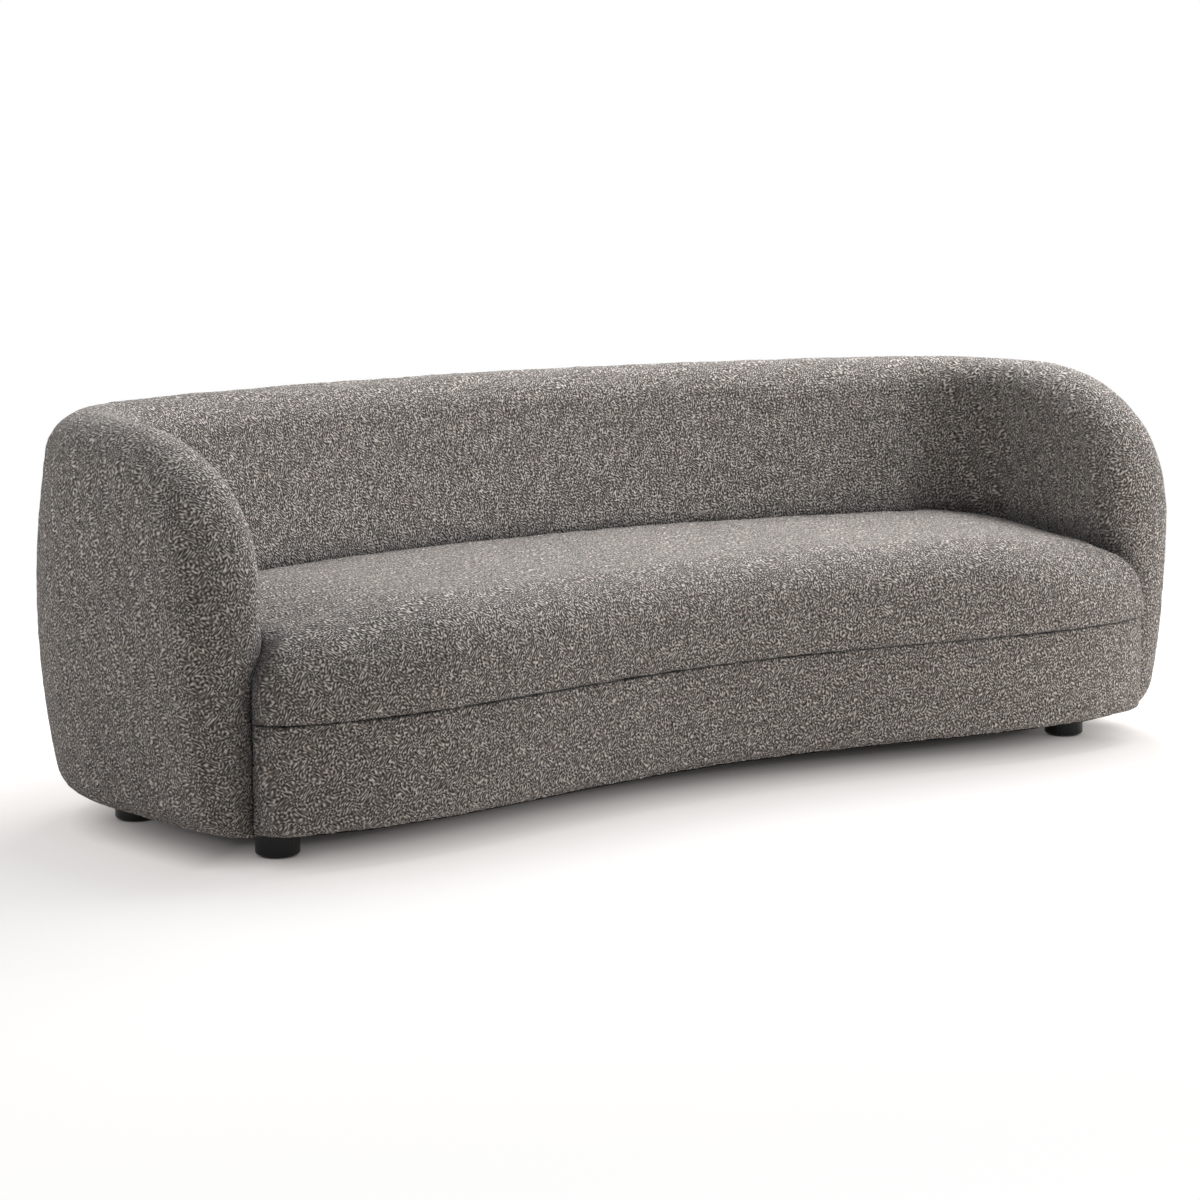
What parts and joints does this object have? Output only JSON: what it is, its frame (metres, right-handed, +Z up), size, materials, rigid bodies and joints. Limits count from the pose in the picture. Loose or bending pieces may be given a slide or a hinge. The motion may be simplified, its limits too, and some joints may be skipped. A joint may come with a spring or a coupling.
{
  "type": "curved sofa",
  "caption": "Curved tub sofa with a wrap-around shell back and arms, a loose bench cushion and round feet.",
  "frame": {"origin": "middle of the footprint of the whole sofa, on the floor", "axes": "+X along the seat to the sitter's left, +Y to the back, +Z up"},
  "size_m": [2.276, 0.9491, 0.712],
  "materials": {
    "boucle": "looped taupe-grey boucle",
    "foam": "open-cell upholstery foam",
    "plywood": "sanded plywood",
    "hardwood": "planed hardwood",
    "bent_board": "bending plywood",
    "spring_steel": "oiled spring wire",
    "zinc_steel": "zinc plated",
    "dust_cloth": "matt non-woven cloth",
    "felt": "pressed felt",
    "black_lacquer": "satin black lacquer on turned wood",
    "nylon": "coil zip"
  },
  "bodies": {
    "sofa_frame": {"shell_cover": "boucle", "shell_foam": "foam", "outer_panel_back": "bent_board", "inner_panel_back": "bent_board", "outer_panel_left": "bent_board", "inner_panel_left": "bent_board", "outer_panel_right": "bent_board", "inner_panel_right": "bent_board", "base_back": "plywood", "base_front": "plywood", "base_left": "plywood", "base_right": "plywood", "rear_seat_rail": "hardwood", "front_seat_rail": "hardwood", "side_seat_rail_left": "hardwood", "cross_rail_left": "plywood", "side_seat_rail_right": "hardwood", "cross_rail_right": "plywood", "rib_back_inner_left": "plywood", "rib_back_inner_right": "plywood", "rib_back_middle_left": "plywood", "rib_back_middle_right": "plywood", "rib_back_outer_left": "plywood", "rib_back_outer_right": "plywood", "rib_corner_left": "plywood", "rib_corner_right": "plywood", "rib_arm_left": "plywood", "rib_arm_right": "plywood", "top_rail": "plywood", "seat_spring_1_left": "spring_steel", "seat_spring_1_right": "spring_steel", "seat_spring_2_left": "spring_steel", "seat_spring_2_right": "spring_steel", "seat_spring_3_left": "spring_steel", "seat_spring_3_right": "spring_steel", "seat_spring_4_left": "spring_steel", "seat_spring_4_right": "spring_steel", "front_clip_strip": "zinc_steel", "rear_clip_strip": "zinc_steel", "deck_pad": "felt", "front_cover": "boucle", "front_foam": "foam", "dust_cloth": "dust_cloth", "foot_front_left": "black_lacquer", "foot_glide_front_left": "felt", "foot_bolt_front_left": "zinc_steel", "foot_back_left": "black_lacquer", "foot_glide_back_left": "felt", "foot_bolt_back_left": "zinc_steel", "foot_front_right": "black_lacquer", "foot_glide_front_right": "felt", "foot_bolt_front_right": "zinc_steel", "foot_back_right": "black_lacquer", "foot_glide_back_right": "felt", "foot_bolt_back_right": "zinc_steel"},
    "seat_cushion": {"cushion_cover": "boucle", "cushion_foam": "foam", "cushion_zip": "nylon"}
  },
  "joints": [
    {"name": "seat_cushion_lift", "type": "slide", "parent": "sofa_frame", "child": "seat_cushion", "axis": [0, 0, 1], "range_m": [0, 0.3]}
  ]
}
